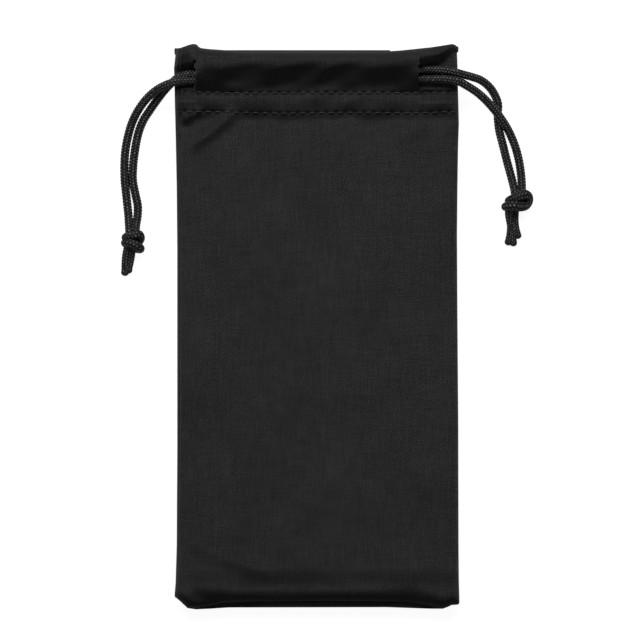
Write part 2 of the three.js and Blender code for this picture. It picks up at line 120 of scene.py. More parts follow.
class Shade:
    """A socket of a material's nodes. Arithmetic on it adds Math nodes."""

    def __init__(self, tree, socket=None):
        self.tree = tree
        self.socket = socket

    def node(self, kind, settings=None, inputs=None, output=0):
        made = self.tree.nodes.new("ShaderNode" + kind)
        for name, value in (settings or {}).items():
            setattr(made, name, value)
        for name, value in (inputs or {}).items():
            if isinstance(value, Shade):
                self.tree.links.new(value.socket, made.inputs[name])
            else:
                made.inputs[name].default_value = value
        return Shade(self.tree, made.outputs[output])

    def math(self, operation, *values):
        return self.node("Math", {"operation": operation}, dict(enumerate(values)))

    def __add__(self, other):
        return self.math("ADD", self, other)

    def __sub__(self, other):
        return self.math("SUBTRACT", self, other)

    def __mul__(self, other):
        return self.math("MULTIPLY", self, other)

    def __pow__(self, other):
        return self.math("POWER", self, other)

    def __rsub__(self, other):
        return self.math("SUBTRACT", other, self)

    __radd__ = __add__
    __rmul__ = __mul__

    def between(self, low, high):
        return self.math("MINIMUM", self.math("MAXIMUM", self, low), high)

    def mix(self, first, second):
        factor, colour_a, colour_b, result = 0, 6, 7, 2
        inputs = {factor: self, colour_a: first, colour_b: second}
        return self.node("Mix", {"data_type": "RGBA"}, inputs, result)


def new_finish(name, settings):
    """A new material with the given values on its shader."""
    finish = bpy.data.materials.new(name)
    finish.use_nodes = True
    shader = finish.node_tree.nodes["Principled BSDF"]
    for socket, value in settings.items():
        shader.inputs[socket].default_value = value
    return finish, Shade(finish.node_tree), shader


def feed(shade, shader, socket):
    """Links a value to one of a shader's sockets."""
    shade.tree.links.new(shade.socket, shader.inputs[socket])


def grey(value):
    """An opaque grey."""
    return (value, value, value, 1)


def noise(shade, place, scale, detail=2.0, stretch=(1, 1, 1), dimensions="3D"):
    """Soft random values from 0 to 1, drawn out where stretch is below 1."""
    stretched = shade.node("Mapping", {}, {"Vector": place, "Scale": stretch})
    inputs = {"Vector": stretched, "Scale": scale, "Detail": detail}
    return shade.node("TexNoise", {"noise_dimensions": dimensions}, inputs)


def braid_finish():
    """Black braid: painted highlights, light flecks, on the backs of the yarns, and painted shade, near
    black, in the gaps.
    """
    finish, shade, shader = new_finish("black_braid", {
        "Roughness": 0.6,
        "Specular IOR Level": 0.12,
    })
    place = shade.node("TexCoord", output="Object")
    crown = shade.node("Attribute", {"attribute_name": "crown"}, output="Fac")
    yarn = noise(shade, place, 1500, 1.0)
    # Painted highlight: the colour is lightened on the backs of the yarns, where the filaments catch the
    # light.
    painted_glint = (crown ** 5.4) * (yarn * 3.4 - 0.9).between(0.3, 1.5)
    colour = painted_glint.between(0, 1).mix(grey(0.0008), grey(0.15))
    feed(colour, shader, "Base Color")
    filament = noise(shade, place, 9000, 1.0)
    bump = shade.node("Bump", {}, {"Strength": 0.3, "Distance": 0.00006, "Height": filament})
    feed(bump, shader, "Normal")
    return finish


BRAID = braid_finish()


def smooth_route(points, step):
    """Points a step apart on the smooth curve (centripetal Catmull-Rom) through a route."""
    route = np.array(points, float)
    ends = 2 * route[0] - route[1], 2 * route[-1] - route[-2]
    q = np.vstack([ends[0], route, ends[1]])
    fine = []
    share = np.linspace(0, 1, ROUTE_SAMPLES, endpoint=False)[:, None]
    for i in range(1, len(q) - 2):
        before, here, after = (np.linalg.norm((q[k + 1] - q[k])[:3]) ** 0.5 for k in (i - 1, i, i + 1))
        leave = (
            (q[i] - q[i - 1]) / before
            - (q[i + 1] - q[i - 1]) / (before + here)
            + (q[i + 1] - q[i]) / here
        )
        reach = (
            (q[i + 1] - q[i]) / here
            - (q[i + 2] - q[i]) / (here + after)
            + (q[i + 2] - q[i + 1]) / after
        )
        fine.append(
            (2 * share**3 - 3 * share**2 + 1) * q[i]
            + (share**3 - 2 * share**2 + share) * leave * here
            + (3 * share**2 - 2 * share**3) * q[i + 1]
            + (share**3 - share**2) * reach * here
        )
    fine = np.vstack([*fine, route[-1:]])
    run = np.concatenate([[0], np.cumsum(np.linalg.norm(np.diff(fine[:, :3], axis=0), axis=1))])
    wanted = np.linspace(0, run[-1], max(4, round(run[-1] / step)) + 1)
    return np.column_stack([np.interp(wanted, run, values) for values in fine.T]), wanted


def tube_rings(points, sides):
    """Directions from each point of a route to the sides of a tube round it."""
    tangents = np.gradient(points, axis=0)
    tangents /= np.linalg.norm(tangents, axis=1)[:, None]
    across = np.cross(tangents[0], (0, 0, 1))
    if np.linalg.norm(across) < 0.2:
        across = np.cross(tangents[0], (0, 1, 0))
    frames = []
    for tangent in tangents:
        across = across - tangent * across.dot(tangent)
        across /= np.linalg.norm(across)
        frames.append(across)
    frames = np.array(frames)
    up = np.cross(tangents, frames)
    angles = np.linspace(0, 2 * np.pi, sides, endpoint=False)
    return frames[:, None] * np.cos(angles)[None, :, None] + up[:, None] * np.sin(angles)[None, :, None]


def tube_mesh(points, rings, radii):
    """Vertices and faces of a closed tube. radii has a row for each point, a column for each side."""
    count, sides = radii.shape
    vertices = (points[:, None] + rings * radii[:, :, None]).reshape(-1, 3)
    row = np.arange(count - 1)[:, None] * sides
    here = np.arange(sides)[None, :]
    after = (here + 1) % sides
    quads = np.stack([row + here, row + after, row + sides + after, row + sides + here], -1)
    last = (count - 1) * sides
    faces = quads.reshape(-1, 4).tolist() + [list(range(sides))[::-1], list(range(last, last + sides))]
    return vertices, faces


def new_piece(name, vertices, faces, finish, attributes=None):
    """A new mesh object. attributes gives lists of values, one for each vertex."""
    mesh = bpy.data.meshes.new(name)
    mesh.from_pydata(np.asarray(vertices).tolist(), [], faces)
    for label, values in (attributes or {}).items():
        attribute = mesh.attributes.new(label, "FLOAT", "POINT")
        attribute.data.foreach_set("value", np.asarray(values, np.float32))
    mesh.materials.append(finish)
    mesh.shade_smooth()
    piece = bpy.data.objects.new(name, mesh)
    bpy.context.scene.collection.objects.link(piece)
    return piece


def braid_crown(run, sides, pitch):
    """How far each point of a braid stands proud: 1 on the back of a yarn, 0 in the gaps.
    Every yarn goes over two of the other set, then under two."""
    turn = np.arange(sides) / sides * BRAID_YARNS + 0.25
    first = turn[None, :] + run[:, None] / pitch
    second = turn[None, :] - run[:, None] / pitch
    first_over = (np.floor(first) + np.floor(second)) % 4 < 2
    cross = np.where(first_over, first, second) % 1
    first_along = (second + np.floor(first)) % 4
    second_along = (first + np.floor(second)) % 4 - 2
    along = np.where(first_over, first_along, second_along) / 2
    return np.sin(np.pi * cross) ** 0.8 * (0.35 + 0.65 * np.sin(np.pi * along))


def braid_tube(
    route, radius=CORD_RADIUS, step=CORD_STEP, sides=CORD_SIDES, tight=False, tip=None, melt=None
):
    """One length of braid. A fourth number in the route's points is the girth there, next to the
    plain cord's. Where it is pulled tight, its yarns lie closer, and on its lower and side flanks,
    away from the light above, the relief is smoothed and the painted highlights are left off. tip
    and melt, where given, are functions of the distance to its far end."""
    points, run = smooth_route(route, step)
    girth = points[:, 3] if points.shape[1] > 3 else np.ones_like(run)
    points = points[:, :3]
    rings = tube_rings(points, sides)
    crown = braid_crown(run, sides, BRAID_PITCH * (TIGHT_PITCH if tight else 1))
    # Pulled tight: painted highlights show only on faces turned up to the light; the lower and side flanks
    # get a plain darker crown, painted shade.
    if tight:
        shown = np.clip((rings[..., 2] - FLANK_BELOW) / FLANK_BLEND, 0, 1)
        crown = crown * shown + SMOOTH_CROWN * (1 - shown)
    to_end = run[-1] - run
    if tip is not None:
        girth = girth * tip(to_end)
    if melt is not None:
        melted = melt(to_end)[:, None]
        crown = crown * (1 - melted) + SMOOTH_CROWN * melted
    radii = radius * girth[:, None] * (1 + BRAID_RELIEF * (crown - BRAID_MEAN_CROWN))
    vertices, faces = tube_mesh(points, rings, radii)
    return vertices, faces, crown.ravel(), points, run[-1]


def join_tubes(tubes):
    """Several tubes as one list of vertices, faces and crown values."""
    vertices, faces, crown = [], [], []
    for part in tubes:
        start = sum(len(v) for v in vertices)
        vertices.append(part[0])
        faces += [[start + i for i in face] for face in part[1]]
        crown.append(part[2])
    return np.vstack(vertices), faces, np.concatenate(crown)


STRANDS = {
    "left_outer": [
        (-0.0120, 0.07875, 0.0100), (-0.0250, 0.07875, 0.0100), (-0.0340, 0.07875, 0.0100),
        (-0.0386, 0.07875, 0.0103), (-0.0420, 0.0787, 0.0106), (-0.0450, 0.0784, 0.0106),
        (-0.0476, 0.0777, 0.0100), (-0.0510, 0.0761, 0.0082), (-0.0541, 0.0737, 0.0060),
        (-0.0572, 0.0699, 0.0038), (-0.0594, 0.0657, 0.0023), (-0.0608, 0.0611, 0.0015),
        (-0.0616, 0.0567, 0.0013),
        (-0.0619, 0.0519, 0.0013), (-0.0618, 0.0471, 0.0013), (-0.0612, 0.0413, 0.0013),
        (-0.0606, 0.0357, 0.0014), (-0.0604, 0.0327, 0.0019), (-0.0602, 0.0305, 0.0025),
        (-0.0598, 0.0288, 0.0028),
    ],
    "left_inner": [
        (-0.0120, 0.0808, 0.0100), (-0.0250, 0.0808, 0.0100), (-0.0340, 0.0808, 0.0100),
        (-0.0386, 0.0808, 0.0100), (-0.0415, 0.0807, 0.0099), (-0.0445, 0.0797, 0.0094),
        (-0.0468, 0.0779, 0.0078), (-0.0490, 0.0757, 0.0060), (-0.0512, 0.0730, 0.0043),
        (-0.0537, 0.0696, 0.0028), (-0.0558, 0.0664, 0.0019), (-0.0571, 0.0633, 0.0014),
        (-0.0579, 0.0603, 0.0013),
        (-0.0586, 0.0562, 0.0013), (-0.0591, 0.0519, 0.0013), (-0.0592, 0.0471, 0.0013),
        (-0.0584, 0.0428, 0.0013), (-0.0576, 0.0388, 0.0013), (-0.0577, 0.0356, 0.0014),
        (-0.0581, 0.0330, 0.0018), (-0.0583, 0.0310, 0.0025), (-0.0586, 0.0292, 0.0028),
    ],
    "right_inner": [
        (0.0090, 0.0822, 0.0100), (0.0200, 0.0822, 0.0100), (0.0280, 0.0822, 0.0100),
        (0.0327, 0.0822, 0.0102), (0.0366, 0.0823, 0.0104), (0.0404, 0.0821, 0.0103),
        (0.0438, 0.0815, 0.0099), (0.0466, 0.0808, 0.0089), (0.0495, 0.0801, 0.0073),
        (0.0524, 0.0792, 0.0054),
        (0.0552, 0.0772, 0.0034), (0.0572, 0.0744, 0.0018), (0.0582, 0.0715, 0.0013),
        (0.0581, 0.0689, 0.0013), (0.0582, 0.0663, 0.0013), (0.0586, 0.0631, 0.0013),
        (0.0598, 0.0583, 0.0013), (0.0610, 0.0535, 0.0013), (0.0623, 0.0487, 0.0014),
        (0.0633, 0.0447, 0.0020), (0.0636, 0.0430, 0.0026), (0.0642, 0.0414, 0.0028),
    ],
    "right_outer": [
        (0.0090, 0.0793, 0.0100), (0.0200, 0.0793, 0.0100), (0.0280, 0.0793, 0.0100),
        (0.0327, 0.0793, 0.0103), (0.0368, 0.0793, 0.0106), (0.0409, 0.0792, 0.0107),
        (0.0452, 0.0785, 0.0105), (0.0482, 0.0770, 0.0096), (0.0514, 0.0750, 0.0078),
        (0.0543, 0.0725, 0.0060),
        (0.0568, 0.0698, 0.0046), (0.0593, 0.0666, 0.0037), (0.0615, 0.0631, 0.0021),
        (0.0636, 0.0583, 0.0013), (0.0649, 0.0535, 0.0013), (0.0656, 0.0487, 0.0014),
        (0.0658, 0.0447, 0.0020), (0.0656, 0.0430, 0.0026), (0.0650, 0.0414, 0.0028),
    ],
}
# Girth at a strand's first points, where casing and slit squeeze it.
SQUEEZED = [0.8, 0.8, 0.8, 0.81, 0.86, 0.95]

for label, route in STRANDS.items():
    side, place = label.split("_")
    girth = np.ones(len(route))
    girth[:len(SQUEEZED)] = SQUEEZED
    vertices, faces, crown, path, length = braid_tube(np.column_stack([route, girth]))
    strand = new_piece(f"{label}_braid", vertices, faces, BRAID, {"crown": crown})
    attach(strand, f"{side}_cord")
    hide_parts(f"{side}_cord_{place}_strand")


# Tied ends: both strands of a side go through one overhand knot, pulled tight, and end in short tails.
# The knot's turns lie over and under each other. The tails' ends are melted, so that they can't fray.
TIED_RADIUS = 1.23 * MM
TIED_TURNS = {
    "left": [
        [(-0.0592, 0.0277, 0.0013, 1.0), (-0.0609, 0.0281, 0.0016, 1.0), (-0.0615, 0.0287, 0.0028, 1.05),
         (-0.0606, 0.0292, 0.0041, 1.08), (-0.0590, 0.0294, 0.0048, 1.12), (-0.0573, 0.0297, 0.0044, 1.18),
         (-0.0567, 0.0286, 0.0031, 1.18), (-0.0573, 0.0271, 0.0017, 1.05)],
        [(-0.0588, 0.0258, 0.0013, 1.05), (-0.0609, 0.0265, 0.0015, 1.05), (-0.0616, 0.0270, 0.0028, 1.12),
         (-0.0606, 0.0271, 0.0043, 1.18), (-0.0590, 0.0266, 0.0050, 1.22), (-0.0574, 0.0257, 0.0045, 1.26),
         (-0.0568, 0.0251, 0.0030, 1.18), (-0.0578, 0.0250, 0.0015, 1.05)],
    ],
    "right": [
        [(0.0632, 0.0404, 0.0014, 0.9), (0.0620, 0.0403, 0.0018, 1.0), (0.0616, 0.0405, 0.0030, 1.08),
         (0.0627, 0.0411, 0.0043, 1.15), (0.0646, 0.0419, 0.0050, 1.25), (0.0666, 0.0425, 0.0047, 1.3),
         (0.0680, 0.0419, 0.0036, 1.05), (0.0682, 0.0403, 0.0028, 0.95), (0.0671, 0.0390, 0.0033, 1.15),
         (0.0652, 0.0387, 0.0044, 1.35), (0.0632, 0.0389, 0.0050, 1.38), (0.0614, 0.0388, 0.0043, 1.25),
         (0.0605, 0.0386, 0.0029, 1.1), (0.0618, 0.0387, 0.0015, 1.0)],
        [(0.0614, 0.0402, 0.0014, 1.0), (0.0640, 0.0404, 0.0014, 1.0), (0.0664, 0.0408, 0.0018, 1.0),
         (0.0672, 0.0414, 0.0026, 0.9)],
        [(0.0614, 0.0386, 0.0013, 1.0), (0.0636, 0.0384, 0.0013, 1.0), (0.0656, 0.0388, 0.0015, 1.0),
         (0.0668, 0.0396, 0.0024, 0.9)],
    ],
}
TAILS = {
    "left": [
        [(-0.0604, 0.0283, 0.0030, 0.9), (-0.0608, 0.0262, 0.0031, 0.92), (-0.0613, 0.0240, 0.0026, 0.92),
         (-0.0616, 0.0216, 0.0020, 0.95), (-0.0617, 0.0192, 0.0015, 0.94), (-0.0617, 0.0164, 0.0012, 0.88)],
        [(-0.0590, 0.0283, 0.0028, 0.9), (-0.0593, 0.0262, 0.0026, 0.95), (-0.0595, 0.0240, 0.0019, 0.97),
         (-0.0599, 0.0216, 0.0014, 0.97), (-0.0604, 0.0194, 0.0012, 0.95), (-0.0609, 0.0172, 0.0012, 0.88)],
    ],
    "right": [
        [(0.0628, 0.0412, 0.0030, 1.0), (0.0620, 0.0390, 0.0030, 1.1), (0.0617, 0.0366, 0.0024, 1.1),
         (0.0618, 0.0345, 0.0019, 0.94), (0.0620, 0.0325, 0.0016, 0.8), (0.0619, 0.0300, 0.0014, 0.82),
         (0.0616, 0.0280, 0.0013, 0.86), (0.0614, 0.0262, 0.0012, 0.86)],
        [(0.0624, 0.0345, 0.0013, 0.8), (0.0629, 0.0318, 0.0013, 0.82), (0.0631, 0.0290, 0.0012, 0.85),
         (0.0631, 0.0259, 0.0011, 0.84)],
        [(0.0643, 0.0412, 0.0026, 0.9), (0.0638, 0.0390, 0.0022, 0.9), (0.0638, 0.0366, 0.0015, 0.88),
         (0.0638, 0.0340, 0.0013, 0.82), (0.0641, 0.0316, 0.0012, 0.82), (0.0645, 0.0299, 0.0011, 0.82),
         (0.0647, 0.0283, 0.0011, 0.8)],
    ],
}
MELT_LENGTH = 1.5 * MM
MELT_SWELL = 0.16


def melted_tip(to_end):
    """A tail swells a little where it was melted and closes to a blunt tip."""
    swell = MELT_SWELL * np.exp(-(((to_end - 0.7 * MELT_LENGTH) / (0.5 * MELT_LENGTH)) ** 2))
    close = np.sqrt(np.clip(1 - (1 - np.clip(to_end / (0.55 * MELT_LENGTH), 0, 1)) ** 2, 0.1, 1))
    return (1 + swell) * close


def melted_share(to_end):
    """How far the yarns have run together at a melted end."""
    return np.clip(1.3 - to_end / MELT_LENGTH, 0, 0.85)


for side, turns in TIED_TURNS.items():
    tubes = [braid_tube(route, TIED_RADIUS, tight=True) for route in turns]
    for route in TAILS[side]:
        tubes.append(braid_tube(route, TIED_RADIUS, tip=melted_tip, melt=melted_share))
    vertices, faces, crown = join_tubes(tubes)
    tied_end = new_piece(f"{side}_tied_end", vertices, faces, BRAID, {"crown": crown})
    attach(tied_end, f"{side}_cord")
    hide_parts(*(f"{side}_cord_{part}" for part in ("knot", "outer_tail", "inner_tail")))


# Cords in the casings: each drawcord runs on from its two strands, along the front casing, round to the
# back one at both sides and along it, so that pulling it draws the whole mouth together.
BACK_LANE_Z = 2.05 * MM
TURN_LEAD = 4.8 * MM
LEFT_TURN_X = -31.5 * MM
RIGHT_TURN_X = 25.6 * MM
LEFT_LANE = (86.5 * MM, 10.65 * MM)
RIGHT_LANE = (76.9 * MM, 9.2 * MM)
LANE_CHANGE = 20 * MM
HIDDEN_STEP = 0.3 * MM
HIDDEN_SIDES = 24
TURN_POINTS = 9


def side_turn(centre_x, lane, side):
    """Half turn from the front casing down to the back one."""
    lane_y, lane_z = lane
    middle, radius = (lane_z + BACK_LANE_Z) / 2, (lane_z - BACK_LANE_Z) / 2
    points = [(centre_x - side * TURN_LEAD, lane_y, lane_z)]
    for angle in np.radians(np.linspace(90, -90, TURN_POINTS)):
        x = centre_x + side * radius * math.cos(angle)
        points.append((x, lane_y, middle + radius * math.sin(angle)))
    return points + [(centre_x - side * TURN_LEAD, lane_y, BACK_LANE_Z)]


def casing_route(start, finish, lane, near_x, near_side, far_x):
    """From the inner end of one strand across the front, round by the back, to the other strand's end."""
    lane_y, lane_z = lane
    out = []
    for share in (0, 0.12, 0.3, 0.5, 0.7, 0.88, 1):
        part = share * share * (3 - 2 * share)
        x = start[0] - near_side * LANE_CHANGE * share
        y = start[1] + (lane_y - start[1]) * part
        out.append((x, y, start[2] + (lane_z - start[2]) * part))
    far = side_turn(far_x, lane, -near_side)
    near = side_turn(near_x, lane, near_side)[::-1]
    radius = (lane_y - finish[1]) / 2
    home = [(finish[0] + near_side * TURN_LEAD, lane_y, lane_z)]
    for angle in np.radians([90, 60, 20, -20, -60, -90]):
        x = finish[0] - near_side * abs(radius) * math.cos(angle)
        y = finish[1] + radius * (1 + math.sin(angle))
        part = (1 - math.sin(angle)) / 2
        home.append((x, y, lane_z + (finish[2] - lane_z) * part))
    return out + far + near + home


CASING_CORDS = {
    "left": casing_route(
        STRANDS["left_outer"][0], STRANDS["left_inner"][0], LEFT_LANE, LEFT_TURN_X, -1, RIGHT_TURN_X
    ),
    "right": casing_route(
        STRANDS["right_inner"][0], STRANDS["right_outer"][0], RIGHT_LANE, RIGHT_TURN_X, 1, LEFT_TURN_X
    ),
}
for side, route in CASING_CORDS.items():
    vertices, faces, crown = braid_tube(route, TIED_RADIUS, HIDDEN_STEP, HIDDEN_SIDES)[:3]
    run = new_piece(f"{side}_casing_braid", vertices, faces, BRAID, {"crown": crown})
    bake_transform(run)
    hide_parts(*(f"{side}_cord_{part}" for part in ("front_run", "back_run", "return_run")))


# Back panel: the lower cloth, black microfibre half a millimetre thick, flat on the table and rolled up
# to the side and bottom seams. Its closed end stands out past the front's as a narrow lip.
CLOTH_THICKNESS = 0.5
HALF_WIDTH = 45.0
HALF_LENGTH = 90.0
SEAM_Z = 4.5
SEAM_GAP = 0.03
SEAM_TUCK = 0.3
SIDE_ROLL = 3.6
BOTTOM_ROLL = 5.5
ROLL_POWER = 2.4
BACK_GROOVE = 0.42
BACK_RIPPLE = 0.06
BACK_EDGE_CURL = 1.3
ROLL_ROWS = 15
MOVED_BELOW = -60.0
MOVED_ABOVE = 78.0


def cloth_finish():
    """Matte microfibre: fine grain and faint streaks along and across, with painted shade on faces turned
    to the closed end, and a little on steep faces turned to the mouth.
    The grain is read on a slanting plane, so that upright faces don't show it drawn out in lines."""
    finish, shade, shader = new_finish("black_microfibre", {
        "Specular IOR Level": 0.04,
        "Sheen Weight": 0.04,
        "Sheen Roughness": 0.55,
        "Roughness": 0.92,
    })
    place = shade.node("TexCoord", output="Object")
    laid = shade.node("Mapping", {}, {"Vector": place, "Rotation": (0.5, 0.45, 0)})
    grain = noise(shade, laid, 4000, 2.0, dimensions="2D") - 0.5
    lengthwise = noise(shade, place, 1700, 1.0, (1, 0.06, 1), "2D") - 0.5
    crosswise = noise(shade, place, 1700, 1.0, (0.06, 1, 1), "2D") - 0.5
    patches = noise(shade, place, 330, 2.0) - 0.5
    clouds = noise(shade, place, 70, 3.0) - 0.5
    # Painted shade: the colour is darker on faces turned to the closed end, away from the main light, and a
    # little darker on steep faces turned to the mouth.
    normal = shade.node("NewGeometry", output="Normal")
    facing = shade.node("SeparateXYZ", {}, {"Vector": normal}, output="Y")
    painted_shade = shade.math("MINIMUM", 1 + facing * 1.85, 1 - facing * 0.5).between(0.12, 1)
    unevenness = lengthwise * 0.2 + crosswise * 0.16 + patches * 0.15 + clouds * 0.2
    weave = (1 + grain * 1.7 + unevenness).between(0.2, 2) ** 2.6
    colour = (painted_shade * weave * 0.3).between(0, 1).mix(grey(0.0), grey(0.049))
    feed(colour, shader, "Base Color")
    height = grain + lengthwise * 0.5
    bump = shade.node("Bump", {}, {"Strength": 0.35, "Distance": 0.00012, "Height": height})
    feed(bump, shader, "Normal")
    return finish


CLOTH = cloth_finish()


def smooth(low, high, value):
    """Rises smoothly from 0 at low to 1 at high."""
    share = np.clip((value - low) / (high - low), 0, 1)
    return share * share * (3 - 2 * share)


def hump(value, width):
    """A bell, 1 high at 0."""
    return np.exp(-((value / width) ** 2))


def rolled(distance, radius, power=ROLL_POWER):
    """Share of the full height over a rolled edge: 0 at the edge, 1 past the roll."""
    left = np.clip(1 - distance / radius, 0, 1)
    return (1 - left**power) ** (1 / power)


def lower_row(x):
    """Where the lower stitch row runs."""
    return 68.5 + 0.3 * (x / 40) ** 2 + 0.12 * np.sin(x / 7)


def upper_row(x):
    """Where the upper stitch row runs."""
    return 74.85 + 0.25 * (x / 40) ** 2 + 0.1 * np.sin(x / 9 + 1)


def soft_waves(x, y, seed, length, count=9):
    """Gentle folds with no main direction, about one high."""
    random = np.random.default_rng(seed)
    total = np.zeros_like(x)
    for _ in range(count):
        angle = random.uniform(0, np.pi)
        wave = length * random.uniform(0.7, 1.6)
        phase = random.uniform(0, 2 * np.pi)
        total += np.sin(2 * np.pi * (x * np.cos(angle) + y * np.sin(angle)) / wave + phase)
    return total / math.sqrt(count)


def through(value, points):
    """A line through points, read at value."""
    places, heights = zip(*points)
    return np.interp(value, places, heights)


LEFT_EDGE = [
    (-88, -45.6), (-86, -45.8), (-82, -45.45), (-70, -45.1), (-40, -44.92), (25, -44.92),
    (45, -45.1), (60, -45.4), (75, -45.75), (83, -45.95), (87, -45.5), (90, -45.3),
]
RIGHT_EDGE = [
    (-88, 45.8), (-81, 45.6), (-70, 45.5), (-30, 45.4), (-10, 45.25), (10, 45.1), (30, 45.0),
    (45, 45.15), (58, 45.35), (65, 45.6), (75, 45.35), (84, 45.15), (88, 45.0),
]
BACK_BOTTOM = [
    (-45.6, -85.6), (-45.0, -86.4), (-41.0, -90.2), (-38.5, -90.6), (-34, -90.4), (-28, -90.0),
    (22, -89.9), (36, -90.4), (40, -90.4), (42.5, -89.2), (44.4, -89.1), (45, -88.4),
]
BACK_MOUTH = [
    (-45.5, 88.4), (-45.0, 89.0), (-44.2, 89.2), (-43.6, 89.0), (-42.3, 89.6), (-39.4, 90.1),
    (-38.2, 89.9), (-36.8, 89.1), (-30, 88.6), (20, 88.45), (30, 88.8), (36.5, 89.5),
    (43.3, 90.2), (44.4, 89.9), (45, 88.9),
]


def spaced(*stretches):
    """Places along a line, as stretches of (from, to, step)."""
    places = []
    for start, to, step in stretches:
        places.append(np.arange(0, round((to - start) / step)) * step + start)
    return np.concatenate([*places, [stretches[-1][1]]])


def roll_places(radius, count):
    """Distances from the edge that share a roll out evenly."""
    return radius * (1 - np.cos(np.linspace(0, np.pi / 2, count)))


def place_on_outline(x0, y0, bottom, mouth):
    """Moves a plain grid so that its rim follows the real outline. The middle keeps its length."""
    low = through(x0, bottom) + HALF_LENGTH
    high = through(x0, mouth) - HALF_LENGTH
    below = np.clip((MOVED_BELOW - y0) / (MOVED_BELOW + HALF_LENGTH), 0, 1)
    y = y0 + low * below + high * smooth(MOVED_ABOVE, HALF_LENGTH, y0)
    left = through(y, LEFT_EDGE) + HALF_WIDTH
    right = through(y, RIGHT_EDGE) - HALF_WIDTH
    share = (x0 + HALF_WIDTH) / (2 * HALF_WIDTH)
    return x0 + left * (1 - share) + right * share, y


def grid_faces(rows, columns, keep=None):
    """The faces of a grid, without the strips between columns that keep leaves out."""
    row, column = np.meshgrid(np.arange(rows - 1), np.arange(columns - 1), indexing="ij")
    corner = row * columns + column
    quads = np.stack([corner, corner + 1, corner + columns + 1, corner + columns], -1)
    if keep is not None:
        quads = quads[:, keep]
    return quads.reshape(-1, 4)


def thicken(piece, thickness, side):
    """Gives a sheet its thickness, on the side away from its outer face."""
    bpy.ops.object.select_all(action="DESELECT")
    piece.select_set(True)
    bpy.context.view_layer.objects.active = piece
    bpy.ops.object.mode_set(mode="EDIT")
    bpy.ops.mesh.select_all(action="SELECT")
    bpy.ops.mesh.remove_doubles(threshold=1e-6)
    bpy.ops.mesh.delete_loose()
    bpy.ops.object.mode_set(mode="OBJECT")
    solid = piece.modifiers.new("thickness", "SOLIDIFY")
    solid.thickness = thickness
    solid.offset = side
    bpy.ops.object.modifier_apply(modifier="thickness")
    piece.data.shade_smooth()


def side_columns(middle, count):
    """Columns of a panel: close together over both rolled sides, with middle between them."""
    roll = roll_places(SIDE_ROLL, count)
    return np.concatenate([-HALF_WIDTH + roll, middle, HALF_WIDTH - roll[::-1]])


back_columns = side_columns(spaced((-41.0, 41.0, 1.3)), ROLL_ROWS)
back_rows = np.concatenate([
    -HALF_LENGTH + roll_places(BOTTOM_ROLL, ROLL_ROWS),
    spaced((-84.0, 66.0, 2.0), (66.0, 89.0, 0.7)),
    [89.5, 90.0],
])
x0, y0 = np.meshgrid(back_columns, back_rows)
across = rolled(HALF_WIDTH - np.abs(x0), SIDE_ROLL)
lift = across * rolled(y0 + HALF_LENGTH, BOTTOM_ROLL)
x, y = place_on_outline(x0, y0, BACK_BOTTOM, BACK_MOUTH)
x -= np.sign(x0) * SEAM_TUCK * (1 - across) ** 6
ripple = np.clip(1 + soft_waves(x, y, 5, 34), 0, None) * smooth(0, 0.9, lift)
grooves = BACK_GROOVE * sum(hump(y - row(x), 0.7) for row in (lower_row, upper_row))
edge_curl = BACK_EDGE_CURL * hump(y0 - HALF_LENGTH, 0.9)
z = (SEAM_Z - SEAM_GAP) * (1 - lift) + 0.01 + BACK_RIPPLE * ripple + (grooves + edge_curl) * lift
points = np.stack([x, y, z], -1).reshape(-1, 3) * MM
back_cloth = new_piece("back_cloth", points, grid_faces(*x.shape)[:, ::-1].tolist(), CLOTH)
thicken(back_cloth, CLOTH_THICKNESS * MM, -1)
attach(back_cloth, "back_half")
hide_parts("back_panel")


# Hem layers: at the mouth each panel is turned in, and the turned-in strip, sewn down along two rows,
# makes the far wall of the casing. It ends short of the sides, where the cords cross over. The front
# one has a wing behind each slit, with a passage for the cord beside it.
HEM_LEFT = -29.4
HEM_RIGHT = 23.5
WING_LEFT = -41.4
WING_RIGHT = 40.3
WING_LOW = 78.5
WING_HIGH = 84.9
PASSAGES = (-35.0, 29.1)
PASSAGE_HALF = 1.9
HEM_COLUMNS = 70
HEM_ROWS = 90
HEM_STEP = 0.2 * MM
HEM_RIPPLE = 0.12


def hem_strip(name, profile, side, wings=False):
    """Turned-in strip along a profile across it. Its wings lie between the cords' lanes."""
    left, right = (WING_LEFT, WING_RIGHT) if wings else (HEM_LEFT, HEM_RIGHT)
    x0, along = np.meshgrid(np.linspace(left, right, HEM_COLUMNS), np.linspace(0, 1, HEM_ROWS))
    curve, run = smooth_route([(0, y * MM, z * MM) for y, z in profile], HEM_STEP)
    share = run / run[-1]
    y = np.interp(along, share, curve[:, 1]) / MM
    z = np.interp(along, share, curve[:, 2]) / MM
    ripple = HEM_RIPPLE * soft_waves(x0, y, 9, 11)
    z = z + ripple * smooth(0, 0.15, along) * smooth(0, 0.15, 1 - along)
    points = np.stack([x0, y, z], -1).reshape(-1, 3)
    faces = grid_faces(*x0.shape)
    middle = points[faces].mean(axis=1)
    inside = (middle[:, 0] > HEM_LEFT) & (middle[:, 0] < HEM_RIGHT)
    off_passage = np.min([np.abs(middle[:, 0] - passage) for passage in PASSAGES], axis=0)
    clear_of_cord = off_passage > PASSAGE_HALF
    behind_slit = (middle[:, 1] > WING_LOW) & ((middle[:, 1] < WING_HIGH) | clear_of_cord)
    faces = faces[inside | behind_slit]
    strip = new_piece(name, points * MM, (faces if side > 0 else faces[:, ::-1]).tolist(), CLOTH)
    thicken(strip, CLOTH_THICKNESS * MM, -1)
    return strip


